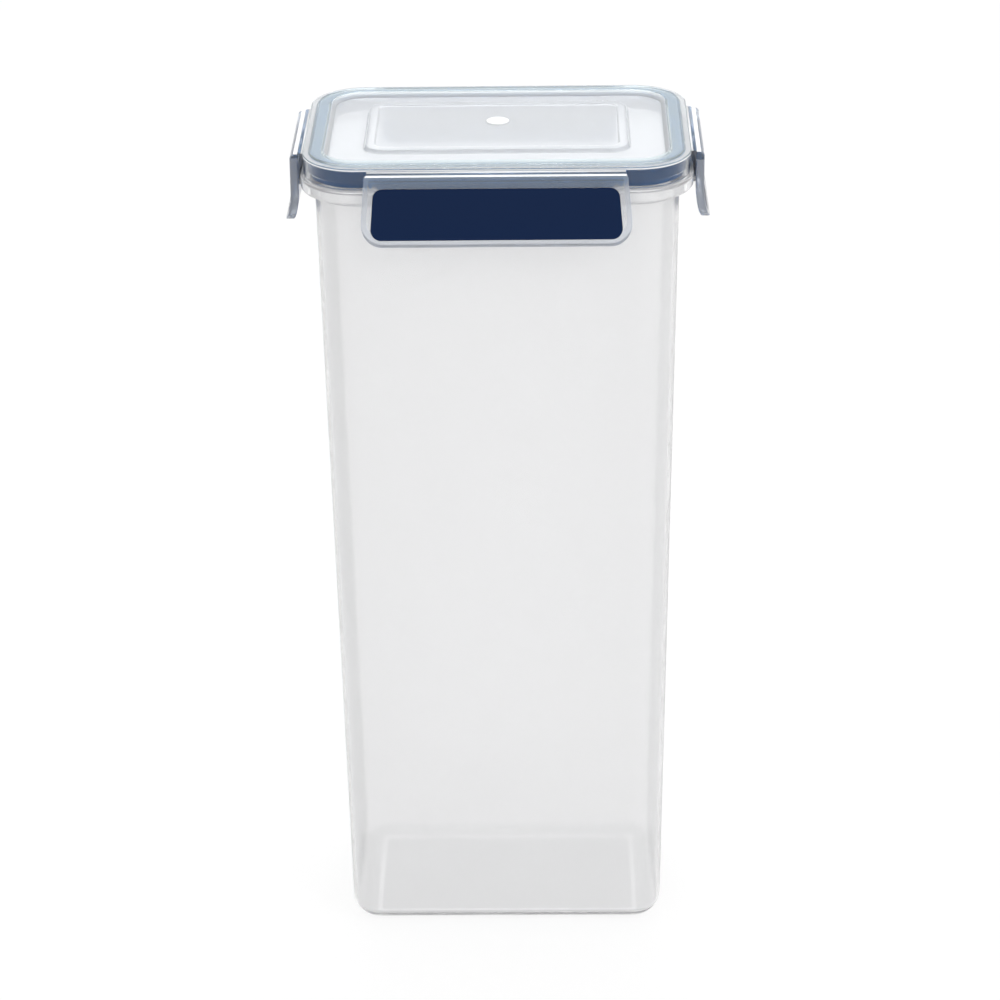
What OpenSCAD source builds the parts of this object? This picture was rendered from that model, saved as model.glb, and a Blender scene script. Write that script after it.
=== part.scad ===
// Tall clip-lock food canister: a drafted translucent tub, a clear lid with four
// hinged latches, a sealing ring in the lid's channel and a coloured insert in
// each latch. The origin is the middle of the base, on the table, with +Z up.
// The wide sides face -Y and +Y. Millimetres.

/* [Overall] */
// Width of the lid's flange, left to right
lid_w = 150; // [130:1:180]
// Depth of the lid's flange, front to back
lid_d = 99.5; // [90:0.5:130]
// Height of the flange's upper face above the table
flange_z = 344.5; // [120:0.5:400]
// Corner radius of the lid's flange in plan
corner_r = 21.3; // [20.6:0.1:26]

/* [Tub] */
// Wall thickness of the tub
wall_t = 1.6; // [1.2:0.1:2.2]
// How far the wall stands in from the lid's edge, under the collar
wall_inset = 4.4; // [4.2:0.1:5.2]
// Draft angle of the wall
draft = 0.9; // [0.3:0.01:0.95]
// Radius of the outer edge between wall and base
base_fillet_r = 10; // [6:0.5:10]
// Radius of the inner edge between wall and floor
inner_fillet_r = 5; // [4:0.5:6]
// Thickness of the floor
floor_t = 2.2; // [1.8:0.1:3]
// Depth of the recess inside the foot ring
foot_h = 0.8; // [0.3:0.1:1.5]
// Width of the flat foot ring
foot_w = 3.2; // [2:0.1:6]

/* [Rim] */
// From the flange's upper face down to the top of the tub's rim
rim_drop = 8.8; // [8:0.1:12]
// Height of the rim's outer lip
rim_h = 5.4; // [4:0.1:8]
// How far the rim's lip stands out beyond the lid's edge
rim_out = 1; // [0.6:0.1:1.2]
// Thickness of the rim's lip and of the web that carries it
rim_t = 1.6; // [1.4:0.1:1.8]
// Height and width of the lead-out slope under the lip
lip_slope = 1; // [0.8:0.05:1.1]
// Height of the collar below the lip
collar_h = 2.3; // [1.5:0.1:4]
// How far the collar stands out from the wall
collar_out = 1.6; // [0.8:0.1:1.8]
// Height of the sealing lip above the rim
seal_h = 3.5; // [2:0.1:4]
// Thickness of the sealing lip
seal_t = 1.2; // [1:0.05:1.4]

/* [Lid] */
// Thickness of the lid's flange
flange_t = 1.1; // [0.9:0.05:1.5]
// How far the skirt stands in from the flange's edge
skirt_inset = 0.3; // [0.2:0.05:0.5]
// Thickness of the skirt
skirt_t = 1.1; // [0.9:0.05:1.2]
// Height of the ridge above the flange
ridge_h = 0.8; // [0.4:0.1:1.5]
// Width of the slope from the ridge down to the flat
ridge_slope = 1.4; // [0.6:0.1:3]
// Width of the sealing channel
channel_w = 4.4; // [4.2:0.1:4.8]
// Thickness of the two walls of the channel
channel_t = 1.1; // [0.9:0.05:1.3]
// Depth of the channel's outer wall below the flange's upper face
channel_depth = 6.5; // [5:0.1:7.5]
// Depth of the plug wall below the flange's upper face
plug_depth = 11.5; // [10:0.5:16]
// How far the lid's flat lies below the flange
flat_drop = 1.4; // [0.8:0.1:2]
// Thickness of the lid's flat
flat_t = 1.3; // [1:0.1:2]

/* [Lid centre] */
// Width of the raised stacking frame
frame_w = 103; // [90:1:112]
// Depth of the raised stacking frame
frame_d = 58.8; // [44:0.2:66]
// Corner radius of the stacking frame
frame_r = 8; // [5:0.5:10]
// Width of the frame's bead
frame_bead_w = 4.4; // [2:0.1:5]
// Height of the frame's bead above the lid's flat
frame_bead_h = 1.9; // [1:0.1:2.5]
// Height of the plateau inside the frame above the lid's flat
plateau_h = 1.3; // [0.4:0.1:1.5]
// Thickness of the frame's side wall
frame_wall = 1.2; // [0.8:0.1:2]
// Radius of the plain gate mark
gate_r = 4.5; // [2:0.5:6]
// How far the gate mark stands behind the lid's middle
gate_y = 6; // [0:0.5:12]

/* [Seal] */
// Clearance between the seal and its channel
seal_gap = 0.05; // [0.02:0.01:0.1]
// Clearance between the seal's groove and the sealing lip
lip_gap = 0.3; // [0.25:0.05:0.35]

/* [Latches] */
// Width of the front and back latches at their hinge
wide_latch_w = 99; // [80:1:102]
// Width of the left and right latches at their hinge
side_latch_w = 54; // [40:1:55]
// Height of a latch
latch_h = 26.5; // [24.5:0.1:31]
// Depth of a latch's top below the flange's upper face
latch_drop = 1.7; // [1.5:0.1:1.9]
// How much each end of a latch slants outwards over its height
latch_slant = 2.4; // [0:0.1:3]
// Thickness of a latch's plate
latch_t = 3.2; // [2.6:0.1:3.6]
// Distance from the lid's edge to the plate's inner face
latch_standoff = 2; // [1.9:0.1:2.4]
// Radius of a latch's lower corners
latch_corner_r = 8; // [4:0.5:9]
// Radius of the hinge bead
hinge_r = 0.5; // [0.4:0.05:0.6]
// Clearance between the hinge bead and the lid's edge
hinge_gap = 0.45; // [0.3:0.05:0.6]
// Depth of the hinge axis below the flange's upper face
hinge_drop = 1.6; // [1.5:0.05:1.7]
// Height of the rounded shoulder at a latch's top
shoulder_h = 1.8; // [1.4:0.1:4]
// Width of the flat land between the hinge and the shoulder
shoulder_land = 1.4; // [0.6:0.1:1.8]
// Distance from a latch's top to where its finger lip starts to flare
flare_start = 14.9; // [14:0.1:17.3]
// Radius of the flare
flare_r = 25; // [20:1:40]
// How far the catch reaches in under the rim's lip
catch_reach = 1.2; // [0.8:0.05:1.4]
// Height of the catch at its root
catch_h = 3.6; // [3:0.1:4.2]
// Distance from a latch's end to the catch's end
catch_end = 5; // [3:0.5:10]
// Clearance between the catch and the rim's lip
catch_gap = 0.4; // [0.3:0.05:0.5]

/* [Inserts] */
// From a latch's top down to the insert's top edge
insert_top = 4.5; // [3.6:0.1:7.3]
// Border left below the insert
insert_bottom = 2.9; // [2.5:0.1:4]
// Border left beside the insert
insert_side = 3.2; // [2.5:0.1:5]
// Corner radius of the insert
insert_r = 4; // [2:0.5:5]
// Thickness of the insert
insert_t = 1; // [0.6:0.1:1.4]
// Clearance between the insert and its pocket
insert_gap = 0.05; // [0.02:0.01:0.1]

/* [Hidden] */

// Colours
clear_white = [0.90, 0.91, 0.92, 0.55];
clear_blue = [0.82, 0.88, 0.92, 0.45];
seal_blue = [0.20, 0.31, 0.50];
navy = [0.07, 0.13, 0.27];

// Steps along one rounded edge of a profile
arc_steps = 6;
// Size of the small edge breaks
edge = 0.35;
// A cut runs this far past the face that it opens
past = 1;
$fn = 96;

// Tub levels, and the inset of its drafted wall at a height z
rim_top = flange_z - rim_drop;
lip_bottom = rim_top - rim_h;
collar_bottom = lip_bottom - collar_h;
seal_lip_top = rim_top + seal_h;
floor_top = foot_h + floor_t;
function wall_at(z) = wall_inset + (collar_bottom - z) * tan(draft);

// Lid levels and insets
flat_z = flange_z - flat_drop;
ridge_z = flange_z + ridge_h;
channel_top = flange_z - flange_t;
skirt_bottom = rim_top + lip_gap;
lip_inner = wall_at(seal_lip_top) + wall_t;
lip_middle = lip_inner - seal_t / 2;
channel_out = lip_middle - channel_w / 2;
channel_in = channel_out + channel_w;
plug_in = channel_in + channel_t;
ridge_out = channel_out - edge;
ridge_in = plug_in - edge;

// Latch levels, measured out from the lid's edge and up from the table
hinge_out = hinge_gap + hinge_r;
hinge_z = flange_z - hinge_drop;
latch_top = flange_z - latch_drop;
latch_bottom = latch_top - latch_h;
plate_out = latch_standoff + latch_t;
flare_z = latch_top - flare_start;
flare_steps = 8;

// ---- outlines and sweeps ----

// Points of an arc about a centre, from angle a to angle b
function arc(c, r, a, b, n = arc_steps) =
    [for (i = [0 : n]) let (t = a + (b - a) * i / n) [c[0] + r * cos(t), c[1] + r * sin(t)]];

// Rounds a length to a thousandth, so that runs and turns meet exactly
function on_grid(v) = round(v * 1000) / 1000;

// A profile's points are [inset from the lid's edge, height]. This carries one
// round the lid's outline: four straight runs and four quarter turns.
module run(profile, length)
    rotate([90, 0, 0])
        linear_extrude(height = length, center = true)
            polygon([for (p = profile) [-on_grid(p[0]), on_grid(p[1])]]);

module quarter(profile)
    rotate_extrude(angle = 90)
        polygon([for (p = profile) [corner_r - on_grid(p[0]), on_grid(p[1])]]);

module around(profile) {
    corner_x = lid_w / 2 - corner_r;
    corner_y = lid_d / 2 - corner_r;
    for (turn = [0, 180]) rotate([0, 0, turn]) {
        translate([lid_w / 2, 0, 0]) run(profile, 2 * corner_y);
        translate([0, lid_d / 2, 0]) rotate([0, 0, 90]) run(profile, 2 * corner_x);
        translate([corner_x, corner_y, 0]) quarter(profile);
        translate([-corner_x, corner_y, 0]) rotate([0, 0, 90]) quarter(profile);
    }
}

// The middle of a sheet whose profile runs in to the corners' centres
module middle(z_low, z_high)
    translate([-(lid_w / 2 - corner_r), -(lid_d / 2 - corner_r), z_low])
        cube([lid_w - 2 * corner_r, lid_d - 2 * corner_r, z_high - z_low]);

// A plate with rounded corners, centred, from z_low to z_high
module plate(w, d, r, z_low, z_high)
    translate([0, 0, z_low])
        linear_extrude(height = z_high - z_low)
            polygon(concat(arc([w / 2 - r, d / 2 - r], r, 0, 90),
                           arc([-w / 2 + r, d / 2 - r], r, 90, 180),
                           arc([-w / 2 + r, -d / 2 + r], r, 180, 270),
                           arc([w / 2 - r, -d / 2 + r], r, 270, 360)));

// ---- tub ----

outer_arc_in = wall_at(base_fillet_r) + base_fillet_r;
inner_arc_z = floor_top + inner_fillet_r;
inner_arc_in = wall_at(inner_arc_z) + wall_t + inner_fillet_r;

tub_profile = concat(
    [[corner_r, 0]],
    arc([outer_arc_in, base_fillet_r], base_fillet_r, 270, 180),
    [[wall_at(collar_bottom), collar_bottom],
     [wall_inset - collar_out, collar_bottom + edge * 3],
     [wall_inset - collar_out, rim_top - rim_t],
     [rim_t - rim_out, rim_top - rim_t],
     [rim_t - rim_out, lip_bottom],
     [lip_slope * 0.8 - rim_out, lip_bottom],
     [-rim_out, lip_bottom + lip_slope],
     [-rim_out, rim_top - edge],
     [edge - rim_out, rim_top],
     [lip_inner - seal_t, rim_top],
     [lip_inner - seal_t, seal_lip_top - edge],
     [lip_inner - seal_t + edge, seal_lip_top],
     [lip_inner - edge, seal_lip_top],
     [lip_inner, seal_lip_top - edge]],
    arc([inner_arc_in, inner_arc_z], inner_fillet_r, 180, 270),
    [[corner_r, floor_top]]);

module tub() color(clear_white)
    difference() {
        union() {
            around(tub_profile);
            middle(0, floor_top);
        }
        foot_in = 2 * (outer_arc_in + foot_w);
        plate(lid_w - foot_in, lid_d - foot_in, base_fillet_r / 2, -past, foot_h);
    }

// ---- lid ----

lid_profile = [
    [corner_r, flat_z],
    [plug_in + ridge_slope, flat_z],
    [ridge_in, ridge_z - edge],
    [ridge_in - edge, ridge_z],
    [ridge_out + edge, ridge_z],
    [ridge_out, ridge_z - edge],
    [ridge_out, flange_z],
    [edge, flange_z],
    [0, flange_z - edge],
    [0, channel_top],
    [skirt_inset, channel_top],
    [skirt_inset, skirt_bottom],
    [skirt_inset + skirt_t, skirt_bottom],
    [skirt_inset + skirt_t, channel_top],
    [channel_out - channel_t, channel_top],
    [channel_out - channel_t, flange_z - channel_depth],
    [channel_out, flange_z - channel_depth],
    [channel_out, channel_top],
    [channel_in, channel_top],
    [channel_in, flange_z - plug_depth + edge],
    [channel_in + edge, flange_z - plug_depth],
    [plug_in, flange_z - plug_depth],
    [plug_in, flat_z - flat_t],
    [corner_r, flat_z - flat_t]];

module lid() color(clear_blue)
    difference() {
        union() {
            around(lid_profile);
            middle(flat_z - flat_t, flat_z);
            stacking_frame();
            translate([0, gate_y, 0])
                plate(2 * gate_r, 2 * gate_r, gate_r, flat_z, flat_z + plateau_h + edge);
        }
        // The underside follows the plateau, so that the lid keeps its thickness
        plate(frame_w - 2 * frame_wall, frame_d - 2 * frame_wall, frame_r - frame_wall,
              flat_z - flat_t - past, flat_z - flat_t + plateau_h);
    }

module stacking_frame() {
    bead_in = 2 * frame_bead_w;
    difference() {
        plate(frame_w, frame_d, frame_r, flat_z, flat_z + frame_bead_h);
        plate(frame_w - bead_in, frame_d - bead_in, frame_r - frame_bead_w / 2,
              flat_z + plateau_h, flange_z + past);
    }
}

// ---- seal ----

seal_profile = [
    [channel_out + seal_gap, channel_top - seal_gap],
    [channel_out + seal_gap, skirt_bottom],
    [lip_inner - seal_t - lip_gap, skirt_bottom],
    [lip_inner - seal_t - lip_gap, seal_lip_top + lip_gap],
    [lip_inner + lip_gap, seal_lip_top + lip_gap],
    [lip_inner + lip_gap, skirt_bottom],
    [channel_in - seal_gap, skirt_bottom],
    [channel_in - seal_gap, channel_top - seal_gap]];

module seal() color(seal_blue) around(seal_profile);

// ---- latches ----

// A latch's outline seen from in front, grown inwards by a border
function latch_outline(w, side, top, bottom, r) =
    let (z_top = latch_top - top,
         z_low = latch_bottom + bottom,
         half_top = w / 2 + latch_slant * top / latch_h - side,
         half_low = w / 2 + latch_slant * (1 - bottom / latch_h) - side,
         lean = atan2(half_low - half_top, z_top - z_low),
         half_at_r = half_low - r * tan(lean),
         centre = half_at_r - r / cos(lean))
    concat([[-half_top, z_top]],
           arc([-centre, z_low + r], r, 180 + lean, 270),
           arc([centre, z_low + r], r, 270, 360 - lean),
           [[half_top, z_top]]);

// The insert's outline is rounded at all four corners
function insert_outline(w, grow) =
    let (z_top = latch_top - insert_top + grow,
         z_low = latch_bottom + insert_bottom - grow,
         r = insert_r + grow,
         low = w / 2 + latch_slant * (1 - insert_bottom / latch_h) - insert_side + grow,
         high = w / 2 + latch_slant * insert_top / latch_h - insert_side + grow)
    concat(arc([-low + r, z_low + r], r, 180, 270),
           arc([low - r, z_low + r], r, 270, 360),
           arc([high - r, z_top - r], r, 0, 90),
           arc([-high + r, z_top - r], r, 90, 180));

// One face of the plate from top to bottom, as [out from the lid's edge, height].
// It runs straight down and then flares about a centre outside the latch.
function plate_face(out, z_top) =
    let (reach = flare_r + plate_out - out,
         turn = asin(min(0.95, (flare_z - latch_bottom + past) / reach)))
    concat([[out, z_top]],
           arc([plate_out + flare_r, flare_z], reach, 180, 180 + turn, flare_steps));

function reversed(list) = [for (i = [len(list) - 1 : -1 : 0]) list[i]];

// A latch in its own place: the lid's edge is the plane y = 0, out is -y
module extruded(profile, w)
    rotate([90, 0, -90])
        linear_extrude(height = w, center = true)
            polygon(profile);

module cut_to(outline)
    rotate([90, 0, 0])
        linear_extrude(height = 40, center = true)
            polygon(outline);

// The shoulder bows out a little between its ends
shoulder = [[latch_standoff, latch_top],
            [latch_standoff + shoulder_land, latch_top],
            [plate_out - (latch_t - shoulder_land) * 0.3, latch_top - shoulder_h * 0.5]];

module latch_blank(w)
    intersection() {
        extruded(concat(shoulder,
                        plate_face(plate_out, latch_top - shoulder_h),
                        reversed(plate_face(latch_standoff, latch_top - edge))),
                 2 * w);
        cut_to(latch_outline(w, 0, 0, 0, latch_corner_r));
    }

catch_tip = rim_out - catch_reach;
catch_tip_z = lip_bottom - catch_gap - lip_slope * 0.4;
catch_rise = (latch_standoff - catch_tip) * 1.25;

module hinge_bead(w) {
    translate([0, -hinge_out, hinge_z])
        rotate([0, 90, 0])
            cylinder(r = hinge_r, h = w, center = true);
    extruded([[hinge_out, hinge_z - hinge_r], [latch_standoff + edge, hinge_z - hinge_r],
              [latch_standoff + edge, hinge_z + hinge_r / 3], [hinge_out, hinge_z + hinge_r / 3]],
             w);
}

module catch(w)
    extruded([[catch_tip, catch_tip_z],
              [latch_standoff + edge, catch_tip_z + catch_rise],
              [latch_standoff + edge, catch_tip_z + catch_rise - catch_h],
              [catch_tip + edge, catch_tip_z - edge * 2]],
             w - 2 * catch_end);

module latch(w)
    difference() {
        union() {
            latch_blank(w);
            hinge_bead(w);
            catch(w);
        }
        insert_body(w, insert_gap, past);
    }

// The insert follows the plate's outer face. With a clearance it is its pocket.
module insert_body(w, clearance, proud)
    intersection() {
        extruded(concat(plate_face(plate_out - insert_t - clearance, latch_top - edge),
                        reversed(plate_face(plate_out + proud, latch_top - edge))),
                 2 * w);
        cut_to(insert_outline(w, clearance));
    }

module insert(w) insert_body(w, 0, 0);

// Puts a latch or an insert on one side of the lid
module on_front() translate([0, -lid_d / 2, 0]) children();
module on_back() rotate([0, 0, 180]) on_front() children();
module on_right() translate([lid_w / 2, 0, 0]) rotate([0, 0, 90]) children();
module on_left() rotate([0, 0, 180]) on_right() children();

module front_latch() color(clear_blue) on_front() latch(wide_latch_w);
module back_latch() color(clear_blue) on_back() latch(wide_latch_w);
module left_latch() color(clear_blue) on_left() latch(side_latch_w);
module right_latch() color(clear_blue) on_right() latch(side_latch_w);
module front_insert() color(navy) on_front() insert(wide_latch_w);
module back_insert() color(navy) on_back() insert(wide_latch_w);
module left_insert() color(navy) on_left() insert(side_latch_w);
module right_insert() color(navy) on_right() insert(side_latch_w);

tub();
lid();
seal();
front_latch();
back_latch();
left_latch();
right_latch();
front_insert();
back_insert();
left_insert();
right_insert();
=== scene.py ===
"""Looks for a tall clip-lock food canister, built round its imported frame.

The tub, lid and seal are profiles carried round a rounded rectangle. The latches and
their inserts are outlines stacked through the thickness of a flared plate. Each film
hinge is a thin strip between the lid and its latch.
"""

import math
from types import SimpleNamespace

import bmesh
import bpy
import numpy as np
from mathutils import Matrix, Vector


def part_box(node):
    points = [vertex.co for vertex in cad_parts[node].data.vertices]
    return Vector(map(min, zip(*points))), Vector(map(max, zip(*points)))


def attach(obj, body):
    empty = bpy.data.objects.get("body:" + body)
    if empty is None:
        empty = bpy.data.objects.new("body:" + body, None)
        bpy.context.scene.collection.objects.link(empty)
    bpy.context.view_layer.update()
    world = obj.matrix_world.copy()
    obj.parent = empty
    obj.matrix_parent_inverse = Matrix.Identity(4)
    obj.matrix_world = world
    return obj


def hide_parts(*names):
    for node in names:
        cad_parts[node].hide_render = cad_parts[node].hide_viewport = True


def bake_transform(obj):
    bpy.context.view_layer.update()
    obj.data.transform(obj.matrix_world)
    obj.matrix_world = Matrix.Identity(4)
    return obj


bl_info = {
    "name": "Clip-lock canister",
    "version": (1, 0, 0),
    "blender": (4, 5, 0),
    "location": "View3D > Sidebar > Canister",
    "description": "Builds the looks of a clip-lock food canister on its frame",
    "category": "Object",
}

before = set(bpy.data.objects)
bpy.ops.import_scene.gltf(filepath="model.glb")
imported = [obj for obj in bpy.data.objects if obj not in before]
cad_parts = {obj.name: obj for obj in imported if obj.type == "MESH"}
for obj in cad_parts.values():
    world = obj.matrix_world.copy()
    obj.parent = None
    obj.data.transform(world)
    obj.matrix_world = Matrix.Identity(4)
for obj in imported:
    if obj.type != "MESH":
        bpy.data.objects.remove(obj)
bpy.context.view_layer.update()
LID_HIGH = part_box("lid")[1]
TUB_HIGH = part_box("tub")[1]
MM = 0.001


# ---- sizes and colours ----


def length(name, default, description):
    """A length property in metres."""
    return bpy.props.FloatProperty(
        name=name, default=default, description=description, unit="LENGTH", precision=5
    )


def angle(name, default, description):
    """An angle property in radians."""
    return bpy.props.FloatProperty(
        name=name, default=default, description=description, subtype="ANGLE"
    )


def colour(name, default, description):
    """A linear colour property."""
    return bpy.props.FloatVectorProperty(
        name=name, default=default, description=description, subtype="COLOR",
        size=3, min=0.0, max=1.0
    )


class TubSizes(bpy.types.PropertyGroup):
    """Sizes of the tub and of the rim that the latches hook under"""

    wall: length("Wall", 1.6 * MM, "Thickness of the wall")
    wall_inset: length("Wall inset", 4.4 * MM, "How far the wall stands in from the lid's edge")
    draft: angle("Draft", math.radians(0.9), "Draft angle of the wall")
    fillet: length("Base fillet", 10 * MM, "Radius between the wall and the base")
    inner_fillet: length("Inner fillet", 5 * MM, "Radius between the wall and the floor")
    floor: length("Floor", 2.2 * MM, "Thickness of the floor")
    foot: length("Foot", 0.8 * MM, "Depth of the recess inside the foot ring")
    foot_width: length("Foot width", 3.2 * MM, "Width of the foot ring")
    dish: length("Dish", 22 * MM, "Width of the soft slope inside the foot ring")
    rim_height: length("Rim height", 5.4 * MM, "Height of the rim's outer lip")
    rim_thickness: length("Rim thickness", 1.6 * MM, "Thickness of the rim's lip and web")
    lip_slope: length("Lip slope", 1.0 * MM, "Slope under the rim's lip")
    collar_height: length("Collar height", 2.3 * MM, "Height of the collar under the lip")
    collar_out: length("Collar reach", 1.6 * MM, "How far the collar stands out")
    seal_lip_height: length("Sealing lip", 3.5 * MM, "Height of the sealing lip")
    seal_lip_width: length("Sealing lip width", 1.2 * MM, "Thickness of the sealing lip")


class LidSizes(bpy.types.PropertyGroup):
    """Sizes of the lid and of the seal in its channel"""

    corner: length("Corner radius", 21.3 * MM, "Corner radius of the flange in plan")
    flange: length("Flange", 1.1 * MM, "Thickness of the flange")
    ridge: length("Ridge", LID_HIGH.z - 344.5 * MM, "Height of the ridge above the flange")
    ridge_slope: length("Ridge slope", 1.4 * MM, "Width of the slope from the ridge to the flat")
    skirt_inset: length("Skirt inset", 0.3 * MM, "How far the skirt stands in")
    skirt: length("Skirt", 1.1 * MM, "Thickness of the skirt")
    channel: length("Channel", 4.4 * MM, "Width of the sealing channel")
    channel_wall: length("Channel wall", 1.1 * MM, "Thickness of the channel's walls")
    channel_depth: length("Channel depth", 6.5 * MM, "Depth of the channel's outer wall")
    plug_depth: length("Plug depth", 11.5 * MM, "Depth of the plug wall")
    flat_drop: length("Flat drop", 1.4 * MM, "How far the flat lies below the flange")
    flat: length("Flat", 1.3 * MM, "Thickness of the flat")
    frame_width: length("Frame width", 103 * MM, "Width of the stacking frame")
    frame_depth: length("Frame depth", 58.8 * MM, "Depth of the stacking frame")
    frame_corner: length("Frame corner", 8 * MM, "Corner radius of the stacking frame")
    bead: length("Frame bead", 4.4 * MM, "Width of the frame's bead")
    bead_height: length("Bead height", 1.9 * MM, "Height of the bead above the flat")
    plateau: length("Plateau", 1.3 * MM, "Height of the plateau above the flat")
    frame_wall: length("Frame wall", 1.2 * MM, "Thickness of the frame's side wall")
    gate: length("Gate mark", 4.5 * MM, "Radius of the plain gate mark")
    gate_back: length("Gate place", 6 * MM, "How far the gate mark stands behind the middle")
    seal_gap: length("Seal gap", 0.05 * MM, "Clearance round the seal")
    seal_press: length("Seal press", 0.08 * MM, "How far the channel's wall presses on the seal")
    lip_gap: length("Lip gap", 0.3 * MM, "Clearance round the sealing lip")


class LatchSizes(bpy.types.PropertyGroup):
    """Sizes of a latch, its insert, its catch and its film hinge"""

    wide: length("Wide latch", 100.2 * MM, "Width of the front and back latches at the hinge")
    side: length("Side latch", 54 * MM, "Width of the left and right latches at the hinge")
    height: length("Height", 27.3 * MM, "Height of the front and back latches")
    side_height: length("Side height", 28.3 * MM, "Height of the left and right latches")
    slant: length("Slant", 2.4 * MM, "How far each end slants outwards")
    plate: length("Plate", 3.2 * MM, "Thickness of the plate")
    drop: length("Drop", 1.7 * MM, "From the flange's top down to the latch's top")
    standoff: length("Standoff", 2.0 * MM, "From the lid's edge to the plate")
    corner: length("Corner", 8 * MM, "Radius of the lower corners")
    shoulder: length("Shoulder", 1.8 * MM, "Height of the rounded shoulder")
    land: length("Land", 1.4 * MM, "Width of the flat land above the shoulder")
    flare_start: length("Flare start", 14.9 * MM, "From the top to where the lip flares")
    flare_reach: length("Flare reach", 2.852 * MM, "How far the lip flares outwards")
    catch_reach: length("Catch reach", 1.2 * MM, "How far the catch reaches under the rim")
    catch_height: length("Catch height", 3.6 * MM, "Height of the catch at its root")
    catch_end: length("Catch end", 5 * MM, "From the latch's end to the catch's end")
    insert_top: length("Insert top", 4.5 * MM, "Border above the insert")
    insert_bottom: length("Insert bottom", 2.5 * MM, "Border below the insert")
    insert_side: length("Insert side", 3.8 * MM, "Border beside the insert")
    insert_corner: length("Insert corner", 4 * MM, "Corner radius of the insert")
    insert: length("Insert", 1.0 * MM, "Thickness of the insert")
    insert_bond: length("Insert bond", 0.04 * MM, "How far the insert bites into the latch")
    film: length("Film", 0.35 * MM, "Thickness of the film hinge")
    hinge_drop: length("Hinge drop", 1.6 * MM, "From the flange's top down to the hinge axis")
    hinge_out: length("Hinge reach", 0.95 * MM, "From the lid's edge out to the hinge axis")


class Finish(bpy.types.PropertyGroup):
    """Colours of the plastics, of the seal and of the floor; several plastics carry painted
    light and shade
    """

    tub: colour("Tub", (0.97, 0.97, 0.975), "Natural polypropylene")
    # Painted shade: the darker tone of the floor and the lower half of the fillet round it
    fillet: colour("Fillet", (0.94, 0.943, 0.95), "Thick plastic round the floor")
    lid: colour("Lid", (0.965, 0.975, 0.985), "Clear polypropylene")
    # Painted: the seal's blue, seen through the lid's clear edges and ridge top, is put into
    # this colour
    edge: colour("Edge", (0.82, 0.95, 1.0), "Clear rounded edges of the lid")
    ridge: colour("Ridge", (0.93, 0.96, 0.985), "Level tops of the lid's ridge and flange")
    # Painted: a bluish tint for the navy insert seen through the panel
    panel: colour("Panel", (0.945, 0.97, 1.0), "Frosted panel of the lid")
    latch: colour("Latch", (0.86, 0.87, 0.885), "Clear polypropylene of the latches")
    # Painted: the seal's blue, seen through the clear top of the latches, is put into this
    # colour; the webs and the films' outer parts share it
    shoulder: colour("Shoulder", (0.68, 0.82, 1.0), "Clear top of the latches")
    # Painted shade: a darker blue-grey round the latch's edge, in place of the dark outline and
    # the navy insert seen through it
    painted_outline: colour("Latch outline", (0.74, 0.79, 0.87), "Clear edge of the latches")
    # Painted highlight: milky white on the flange's upright edge, the latches' level tops and
    # where the films leave the lid; the gate mark's own milky white uses it too
    milky_mark_and_highlight: colour("Milky mark and highlight", (0.97, 0.975, 0.985), "Milky plastic beside the hinges")
    seal: colour("Seal", (0.03, 0.1, 0.25), "Slate-blue silicone")
    insert: colour("Insert", (0.001, 0.011, 0.046), "Navy plastic")
    # Painted light: the insert's back is a much lighter blue than its navy front, for light that
    # reaches it through the clear latch
    lit_insert_back: colour("Insert back", (0.03, 0.15, 0.42), "Insert's back, bonded to the latch")
    floor: colour("Floor", (0.93, 0.93, 0.93), "Pale studio floor")


class Studio(bpy.types.PropertyGroup):
    """Camera and light of the studio"""

    camera_place: bpy.props.FloatVectorProperty(
        name="Camera place", default=(0.0206, -1.2188, 0.7614), subtype="XYZ",
        description="Where the camera stands"
    )
    pitch: angle("Pitch", 0.4440, "Camera's tilt downwards")
    yaw: angle("Yaw", -0.0178, "Camera's turn to the right")
    roll: angle("Roll", -0.014, "Camera's roll")
    lens: bpy.props.FloatProperty(
        name="Lens", default=117.2, description="Focal length on a 36 mm sensor, in mm"
    )


# ---- surfaces ----


def arc(centre, radius, start, end, steps=12):
    """Points of an arc: centre + radius * (cos a, sin a), a from start to end in degrees."""
    a = np.radians(np.linspace(start, end, steps + 1))
    return np.stack([centre[0] + radius * np.cos(a), centre[1] + radius * np.sin(a)], 1)


def softened(points, setback, steps=3):
    """Rounds the corners of an open profile.

    Each inner corner P becomes the quadratic curve (1-s)^2 A + 2s(1-s) P + s^2 B, where A
    and B lie a setback along its two edges, or 40% of an edge that is shorter.
    """
    points = np.asarray(points, float)
    before = points[:-2] - points[1:-1]
    after = points[2:] - points[1:-1]
    long_before = np.linalg.norm(before, axis=1, keepdims=True)
    long_after = np.linalg.norm(after, axis=1, keepdims=True)
    a = points[1:-1] + before / long_before * np.minimum(setback, 0.4 * long_before)
    b = points[1:-1] + after / long_after * np.minimum(setback, 0.4 * long_after)
    s = np.linspace(0, 1, steps + 1)[None, :, None]
    curve = (1 - s) ** 2 * a[:, None] + 2 * s * (1 - s) * points[1:-1, None] + s**2 * b[:, None]
    return np.concatenate([points[:1], curve.reshape(-1, points.shape[1]), points[-1:]])


def supported(points, reach=0.6 * MM, shortest=4 * MM):
    """Adds a point near each end of a long stretch, so that its shading stays flat."""
    points = np.asarray(points, float)
    step = np.diff(points, axis=0)
    size = np.linalg.norm(step, axis=1)
    where = np.nonzero(size > shortest)[0]
    near = points[where] + step[where] * (reach / size[where])[:, None]
    far = points[where + 1] - step[where] * (reach / size[where])[:, None]
    both = np.stack([near, far], 1).reshape(-1, points.shape[1])
    return np.insert(points, np.repeat(where + 1, 2), both, axis=0)


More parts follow.
